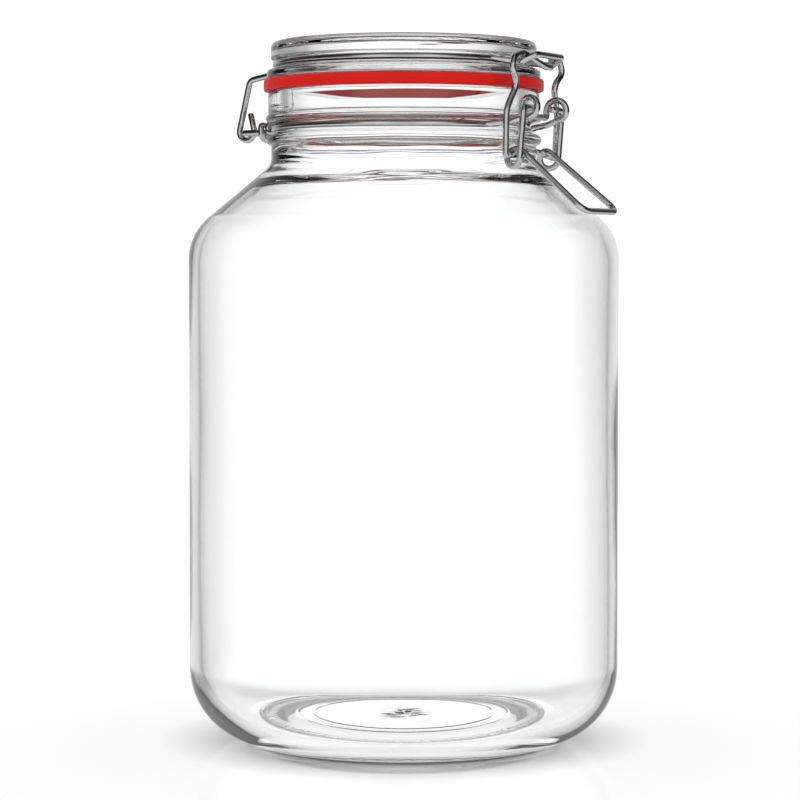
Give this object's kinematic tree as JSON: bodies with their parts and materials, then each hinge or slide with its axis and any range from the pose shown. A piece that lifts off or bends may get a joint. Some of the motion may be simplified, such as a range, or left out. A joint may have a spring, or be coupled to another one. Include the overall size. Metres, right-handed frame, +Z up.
{
  "type": "clip top jar",
  "caption": "Round clear glass storage jar with a hinged glass lid, a red rubber sealing ring and a lever clip of bent steel wire.",
  "frame": {"origin": "middle of the foot, on the surface the jar stands on", "axes": "+Z up along the jar's axis, +X from the axis towards the clip, the hinge on -X"},
  "size_m": [0.1669, 0.164, 0.2665],
  "materials": {
    "glass": "clear, polished",
    "red_rubber": "satin moulded rubber",
    "steel_wire": "bright drawn wire"
  },
  "bodies": {
    "jar_body": {"jar": "glass", "neck_wire": "steel_wire"},
    "lid_body": {"lid": "glass", "rubber_ring": "red_rubber", "lid_wire": "steel_wire"},
    "link_body": {"link_wire": "steel_wire"},
    "lever_body": {"lever_wire": "steel_wire"}
  },
  "joints": [
    {"name": "lid_hinge", "type": "hinge", "parent": "jar_body", "child": "lid_body", "pos_m": [-0.0713, 0, 0.2343], "axis": [0, -1, 0], "range_deg": [0, 180]},
    {"name": "lever_pivot", "type": "hinge", "parent": "jar_body", "child": "lever_body", "pos_m": [0.0597, 0, 0.2397], "axis": [0, -1, 0], "range_deg": [0, 140]},
    {"name": "link_swing", "type": "hinge", "parent": "lid_body", "child": "link_body", "pos_m": [0.0574, 0, 0.2598], "axis": [0, -1, 0], "range_deg": [0, 10]}
  ]
}
